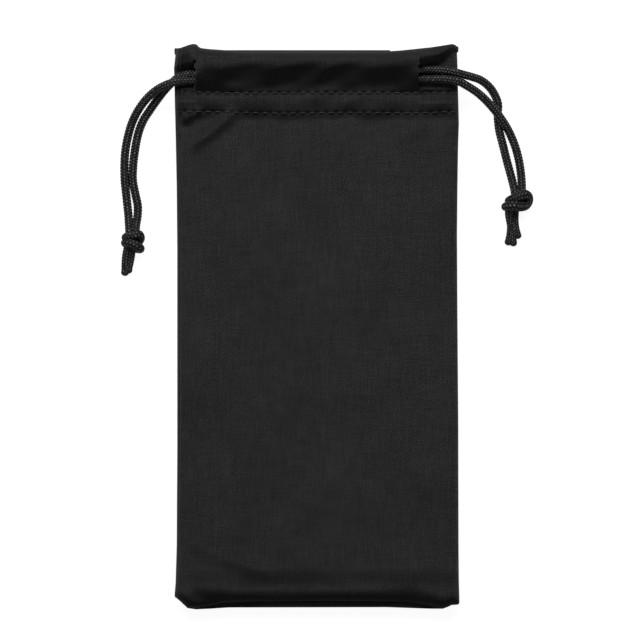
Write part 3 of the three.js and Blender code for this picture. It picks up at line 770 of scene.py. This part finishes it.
BACK_HEM = [
    (68.2, 1.05), (71.5, 1.2), (74.6, 1.1), (75.6, 1.9), (77.0, 3.5),
    (80.0, 4.0), (84.0, 4.05), (86.6, 3.8), (88.0, 2.9), (88.5, 1.7),
]
FRONT_HEM = [
    (68.0, 8.3), (72.0, 8.35), (74.6, 8.35), (76.2, 7.65), (77.6, 7.6),
    (79.2, 7.85), (84.0, 8.0), (87.0, 8.7), (87.9, 9.2),
]
back_hem = hem_strip("back_hem", BACK_HEM, -1)
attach(back_hem, "back_half")
front_hem = hem_strip("front_hem", FRONT_HEM, 1, wings=True)
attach(front_hem, "front_half")


# Front panel: the upper cloth, in one piece from the bottom seam to the fold at the mouth. The hem band
# is pinched by two rows of stitches; above it the casing swells, with a slit for a cord near each side.
FRONT_Z = 9.1
CASING_CREST = 12.4
CASING_SLOPE = 0.44
CASING_REACH = 14
CASING_DRAPE = [-33.8, -26.5, -16.7, -6.7, 0.2, 5.7, 14.0, 29.0, 44.0]
DRAPE_MIDDLE = 79.5
DRAPE_LEAN = 0.84
DRAPE_HEIGHT = 0.3
PINCH_DEPTH = 2.1
FOLD_DROP = 0.6
RIM_LIFT = 0.5
MOUTH_ROLL = 3.3
MOUTH_ROLL_ROWS = 16
BOTTOM_POWER = 2.0
FRONT_BOTTOM_ROLL = 4.2
FRONT_BOTTOM_ROWS = 18
LEFT_SLIT_X = -38.6
RIGHT_SLIT_X = 32.7
STITCH_PITCH = 3.02
TAB_HEIGHT = -0.35
TAB_EASING = 7
SIDE_COUNT = 26
LIP_RUN = [1.0, 0.96, 0.9, 0.62, 0.57, 0.55, 0.51, 0.24, 0.19, 0.16, 0.1]
LIP_DROP = [1.0, 0.96, 0.93, 0.91, 0.88, 0.6, 0.56, 0.54, 0.5, 0.1, 0.04]
CURL_RUN = [0.5, 1.0, 1.6, 2.4]
FRONT_BOTTOM = [
    (-45.6, -85.6), (-45.0, -86.4), (-41.0, -90.1), (-38.5, -90.2), (-34.0, -89.3), (-29.6, -88.4),
    (-20.5, -88.0), (0, -87.8), (20, -87.9), (28, -88.1), (35, -89.1), (38.8, -90.1),
    (40, -90.3), (42.5, -89.2), (44.4, -89.1), (45, -88.4),
]
FRONT_MOUTH = [
    (-45.6, 88.6), (-45.2, 89.0), (-44.2, 89.3), (-43.6, 89.3), (-42.3, 89.7), (-40.7, 90.3),
    (-39.2, 90.6), (-38.2, 90.4), (-37.5, 89.6), (-36.6, 89.2), (-34.0, 88.9), (-28.0, 88.5),
    (-24.0, 88.1), (20.0, 88.1), (26.0, 88.4), (31.0, 88.9), (36.5, 89.5), (41.0, 90.2),
    (43.3, 90.6), (44.4, 90.3), (45.0, 89.6),
]


def ridge(x, y, start, end, width):
    """A soft fold along a line, fading at both its ends."""
    start, end = np.array(start), np.array(end)
    length = np.linalg.norm(end - start)
    ahead = (end - start) / length
    along = ((x - start[0]) * ahead[0] + (y - start[1]) * ahead[1]) / length
    off = (y - start[1]) * ahead[0] - (x - start[0]) * ahead[1]
    return hump(off, width) * smooth(-0.25, 0.2, along) * smooth(-0.25, 0.2, 1 - along)


def sewn_row(x, y, row, seed):
    """Cloth drawn down along a row of stitches, with a dimple at each needle hole and small puckers."""
    off = y - row
    hole = np.cos(2 * np.pi * x / STITCH_PITCH) * 0.5 + 0.5
    pucker = soft_waves(x, 0.5 * y, seed, 9) * hump(off, 3.2)
    return 0.2 * smooth(-0.8, -0.1, off) - 0.4 * hump(off, 0.45) * hole**2 + 0.22 * pucker


def beyond_slit(x):
    """Distance outside the nearer slit, below 0 between the slits."""
    return np.maximum(LEFT_SLIT_X - x, x - RIGHT_SLIT_X)


def casing_climb(over, at_row, fall_from):
    """Height gained over the upper row, from the slope at the row to the turn over to the mouth."""
    places = np.linspace(0, CASING_REACH, 120)
    slope = at_row + (CASING_SLOPE - at_row) * smooth(0, 3.6, places)
    slope = slope * smooth(CASING_CREST, fall_from, places)
    return np.interp(over, places, np.cumsum(slope) * (places[1] - places[0]))


def casing_height(x, y):
    """Height of the cloth above the flat front: the step up to the hem band, the band, the casing."""
    low, high = lower_row(x), upper_row(x)
    share = np.clip((y - low) / (high - low), 0, 1)
    step = 0.5 * smooth(-2.6, 0.4, y - low)
    swell = 0.8 + 0.4 * smooth(-27, -33, x) + 0.12 * smooth(26, 32, x)
    band = swell * np.sin(np.pi / 2 * np.clip(1.35 * share, 0, 1))
    over = np.clip(y - high, 0, None)
    ends = smooth(-18, -27, x) + smooth(22, 30, x)
    climb = casing_climb(over, 0.16, 7.8) * (1 - ends) + casing_climb(over, 0.48, 6.0) * ends
    upright = x - DRAPE_LEAN * (y - DRAPE_MIDDLE)
    leaning = np.interp(upright, CASING_DRAPE, range(len(CASING_DRAPE)))
    drape = DRAPE_HEIGHT * np.cos(np.pi * leaning) * smooth(0.5, 4, over) * smooth(11.5, 7.5, over)
    corner = 0.18 + 0.82 * smooth(-42, -37.6, x) * smooth(40, 31.5, x)
    pinch = PINCH_DEPTH * smooth(0, 1.5, beyond_slit(x)) * smooth(0.45, 1, share) * smooth(3.7, 0.3, over)
    swelled = step + band + (climb + drape) * corner - pinch
    return swelled + sewn_row(x, y, low, 21) + sewn_row(x, y, high, 22)


def body_folds(x, y):
    """Soft folds of the empty pouch: drawn to the hem at the left, and faint ones over the body."""
    below = smooth(69, 62, y)
    folds = 1.05 * ridge(x, y, (-40.2, 57.6), (-27.2, 67.8), 2.1)
    folds += 0.6 * ridge(x, y, (-43.0, 66.2), (-37.0, 69.2), 1.6)
    folds -= 0.4 * hump(x + 41.7, 1.9) * hump(y - 64.2, 1.5)
    folds += 0.6 * ridge(x, y, (-40.0, -69.0), (-16.0, -78.6), 2.8)
    folds -= 0.6 * ridge(x, y, (-39.6, -85.8), (-30.0, -88.9), 2.3)
    folds += 0.22 * ridge(x, y, (-16, 28), (-7, 36), 2.6)
    folds += 0.2 * ridge(x, y, (-25, 14), (-18, 22), 2.4)
    folds += 0.3 * ridge(x, y, (26, 60), (36, 66), 2.6)
    folds += 0.16 * soft_waves(x, y, 14, 38) * below
    trough = 0.1 + 0.62 * smooth(-40, -8, x) - 0.25 * smooth(12, 28, x)
    trough += 0.2 * soft_waves(x, 0.5 * y, 17, 26)
    folds -= trough * smooth(-77.0, -83.2, y)
    return folds


def climb_out(low, high, value):
    """Rises from 0 to 1, quickly at first."""
    share = np.clip((value - low) / (high - low), 0, 1)
    return smooth(0, 0.4, share) * (1 - (1 - share) ** 2)


def tab_share(x, y):
    """How far the cloth outside a slit is pressed down by the cords. Below them it drops quickly.
    Above them it climbs back to the casing, at the right along a slant to the corner."""
    top = 85.2 + 2.8 * smooth(0, 2.5, beyond_slit(x))
    left = 0.6 * smooth(81.4, 84.3, y) + 0.4 * np.clip((y - 83) / (top - 83), 0, 1)
    foot = 82.2 + 0.25 * (x - RIGHT_SLIT_X) + 0.55 * np.clip(x - 38.5, 0, None)
    head = np.maximum(86.3 + 0.36 * (x - RIGHT_SLIT_X), foot + 1)
    right = climb_out(foot, head, y)
    return smooth(75.6, 77.0, y) * (1 - np.where(x < 0, left, right))


def slit_lift(x, y):
    """The lips of the slits are lifted by the cords that come out under them."""
    near = 1.5 * hump(x - LEFT_SLIT_X, 2.8) + 0.8 * hump(x - RIGHT_SLIT_X, 2.8)
    return near * smooth(76.0, 79.2, y) * smooth(85.4, 80.2, y)


def left_seam_ridge(x0, y):
    """The seam allowance inside shows as a thin ridge and groove beside the left edge."""
    inset = through(y, [(-60, 0.8), (-20, 1.1), (50, 1.3), (62, 1.9), (88, 1.9)])
    off = x0 + HALF_WIDTH - inset
    shown = smooth(-70, -45, y)
    depth = 1 + 1.3 * smooth(62, 71, y)
    return shown * depth * (0.28 * hump(off - 0.38, 0.3) - 0.42 * hump(off, 0.24))


tab_left = spaced((-41.3, LEFT_SLIT_X, 0.3))
casing_middle = spaced(
    (LEFT_SLIT_X, LEFT_SLIT_X + 2, 0.3),
    (LEFT_SLIT_X + 2, RIGHT_SLIT_X - 2, 0.5),
    (RIGHT_SLIT_X - 2, RIGHT_SLIT_X, 0.3),
)
tab_right = spaced((RIGHT_SLIT_X, 41.2, 0.5))
front_columns = side_columns(np.concatenate([tab_left, casing_middle, tab_right]), SIDE_COUNT)
left_cut = SIDE_COUNT + len(tab_left) - 1
right_cut = left_cut + len(casing_middle)
front_rows = np.concatenate([
    -HALF_LENGTH + roll_places(FRONT_BOTTOM_ROLL, FRONT_BOTTOM_ROWS),
    spaced(
        (-85.6, -76.0, 0.6),
        (-76.0, 58.0, 2.0),
        (58.0, 66.0, 0.7),
        (66.0, 77.0, 0.34),
        (77.0, 86.4, 0.42),
    ),
    HALF_LENGTH - roll_places(MOUTH_ROLL, MOUTH_ROLL_ROWS)[::-1],
])
x0, y0 = np.meshgrid(front_columns, front_rows)
column = np.arange(len(front_columns))[None, :]
in_tab = np.where((column <= left_cut) | (column > right_cut), 1.0, 0.0)
across = rolled(HALF_WIDTH - np.abs(x0), SIDE_ROLL)
bottom_roll = FRONT_BOTTOM_ROLL + 2.4 * hump(x0 + 35, 6) + 2.0 * hump(x0 - 29, 8)
up = rolled(y0 + HALF_LENGTH, bottom_roll, BOTTOM_POWER)
x, y = place_on_outline(x0, y0, FRONT_BOTTOM, FRONT_MOUTH)
pressed = tab_share(x0, y0) * in_tab
raised = casing_height(x, y0) + slit_lift(x0, y0) * (1 - in_tab)
height = raised * (1 - pressed) + TAB_HEIGHT * pressed
# Above the right cords the tab's fold is soft.
easing = np.where(x0 > 0, in_tab, 0) * smooth(80.5, 82.5, y0)
for _ in range(TAB_EASING):
    eased = height.copy()
    eased[1:-1] = (height[:-2] + 2 * height[1:-1] + height[2:]) / 4
    height += (eased - height) * easing
height += body_folds(x, y)
fold = rolled(HALF_LENGTH - y0, MOUTH_ROLL)
base = FRONT_Z - SEAM_Z - SEAM_GAP
full = (base + height) * fold + (base - FOLD_DROP) * (1 - fold)
lip_depth = np.clip(through(x0, FRONT_BOTTOM) - through(x0, BACK_BOTTOM), 0, None)
rim_lift = RIM_LIFT * hump(y0 + HALF_LENGTH, 1.4) * smooth(0.3, 1.6, lip_depth)
ridge_left = left_seam_ridge(x0, y) * up * (1 - pressed)
z = SEAM_Z + SEAM_GAP + full * across * up + ridge_left + rim_lift * across
x -= np.sign(x0) * SEAM_TUCK * (1 - across) ** 6
lip = hump(x0 - LEFT_SLIT_X, 0.8) + hump(x0 - RIGHT_SLIT_X, 0.8)
slit_range = smooth(76.4, 78.0, y0) * smooth(85.6, 84.0, y0)
wave = 0.3 * np.sin(y0 * 2.1) + 0.2 * np.sin(y0 * 4.7 + 1)
x += (wave + np.where(x0 < 0, 0.5, -0.25)) * lip * slit_range * (1 - in_tab)

# The lip at the closed end goes down to the back panel in small steps, and the mouth's edge curls in.
lip_y = y[:1] - np.array(LIP_RUN)[:, None] * np.clip(lip_depth[:1] - 0.1, 0, None)
lip_z = z[:1] - np.array(LIP_DROP)[:, None] * (z[:1] - SEAM_Z + 0.05)
curl = np.array(CURL_RUN)[:, None] * smooth(0.1, 0.6, across[-1:])
curl_y = y[-1:] - 0.9 * curl
curl_z = z[-1:] - 0.25 * smooth(0, 2.4, curl)
x = np.vstack([np.repeat(x[:1], len(LIP_RUN), axis=0), x, np.repeat(x[-1:], len(CURL_RUN), axis=0)])
y = np.vstack([lip_y, y, curl_y])
z = np.vstack([lip_z, z, curl_z])
points = np.stack([x, y, z], -1).reshape(-1, 3) * MM
uncut = np.ones(len(front_columns) - 1, bool)
uncut[[left_cut, right_cut]] = False
front_cloth = new_piece("front_cloth", points, grid_faces(*x.shape, uncut).tolist(), CLOTH)
thicken(front_cloth, CLOTH_THICKNESS * MM, -1)
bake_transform(front_cloth)
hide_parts("front_panel")


# Stitch rows: two rows of black lockstitch hold each hem, about three millimetres a stitch. The thread
# lies on the cloth and dives into a needle hole at both ends of every stitch.
THREAD_RADIUS = 0.15
STITCH_SHARE = 0.96
ROW_STITCHES = 15
ROW_END = 44.7
THREAD_SIDES = 8
STITCH_POINTS = 13
STITCH_SKEW = 0.12
STITCH_DRIFT = 0.05
EDGE_REACH = 0.3


def thread_finish():
    """Black sewing thread with a fine twist, with a painted highlight on top of each stitch and painted
    shade at its ends.
    """
    finish, shade, shader = new_finish("black_thread", {
        "Roughness": 0.55,
        "Specular IOR Level": 0.4,
    })
    place = shade.node("TexCoord", output="Object")
    twist = shade.node("TexWave", {}, {
        "Vector": shade.node("Mapping", {}, {"Vector": place, "Rotation": (0, 0, 0.7)}),
        "Scale": 900.0,
        "Distortion": 1.5,
    }, output=1)
    # The crown values carry the painted highlight along each stitch.
    top = shade.node("Attribute", {"attribute_name": "crown"}, output="Fac")
    colour = (top * (twist * 0.6 + 0.4)).mix(grey(0.0008), grey(0.009))
    feed(colour, shader, "Base Color")
    bump = shade.node("Bump", {}, {"Strength": 0.4, "Distance": 0.00005, "Height": twist})
    feed(bump, shader, "Normal")
    return finish


THREAD = thread_finish()


def stitch_row(name, row, surface, side, seed):
    """Every stitch of a row, each a short arc of thread from one needle hole to the next."""
    random = np.random.default_rng(seed)
    tubes = []
    share = np.linspace(-1, 1, STITCH_POINTS)
    for number in range(-ROW_STITCHES, ROW_STITCHES):
        ends = np.clip(np.array([number, number + 1]) * STITCH_PITCH, -ROW_END, ROW_END)
        x = ends.mean() + share * STITCH_SHARE * np.ptp(ends) / 2
        skew = random.uniform(-STITCH_SKEW, STITCH_SKEW)
        y = row(x) + share * skew + random.uniform(-STITCH_DRIFT, STITCH_DRIFT)
        z = surface(x, row(x)) + side * THREAD_RADIUS * (0.75 - 1.6 * np.abs(share) ** 4)
        points = np.column_stack([x, y, z]) * MM
        radii = np.full((len(x), THREAD_SIDES), THREAD_RADIUS * MM) * (1 - 0.25 * share[:, None] ** 4)
        vertices, faces = tube_mesh(points, tube_rings(points, THREAD_SIDES), radii)
        # Painted highlight in the middle of each stitch, fading to painted shade where it dives into the
        # needle holes.
        top = np.clip(1.15 - random.uniform(1.8, 2.4) * share**2, 0, 1)
        tubes.append((vertices, faces, np.repeat(top, THREAD_SIDES)))
    vertices, faces, crown = join_tubes(tubes)
    stitches = new_piece(name, vertices, faces, THREAD, {"crown": crown})
    return stitches


def front_surface(x, y):
    """Height of the front cloth under a stitch."""
    across = rolled(HALF_WIDTH + EDGE_REACH - np.abs(x), SIDE_ROLL)
    base = FRONT_Z - SEAM_Z - SEAM_GAP
    return SEAM_Z + SEAM_GAP + (base + casing_height(x, y) + body_folds(x, y)) * across


def back_surface(x, y):
    """Height of the back cloth over a stitch."""
    across = rolled(HALF_WIDTH + EDGE_REACH - np.abs(x), SIDE_ROLL)
    return (SEAM_Z - SEAM_GAP) * (1 - across) + BACK_GROOVE * across


for label, row, seed in (("lower", lower_row, 41), ("upper", upper_row, 42)):
    stitches = stitch_row(f"front_{label}_row", row, front_surface, 1, seed)
    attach(stitches, "front_half")
    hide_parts(f"front_{label}_stitch")
    stitches = stitch_row(f"back_{label}_row", row, back_surface, -1, seed + 2)
    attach(stitches, "back_half")
    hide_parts(f"back_{label}_stitch")


# Seam threads: the panels are sewn face to face along both sides and the closed end, then turned, so
# this black thread lies inside along the seams. It keeps the solids' plain shape.
for name in ("left_seam_thread", "right_seam_thread", "bottom_seam_thread"):
    seam_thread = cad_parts[name]
    seam_thread.data.materials.clear()
    seam_thread.data.materials.append(THREAD)
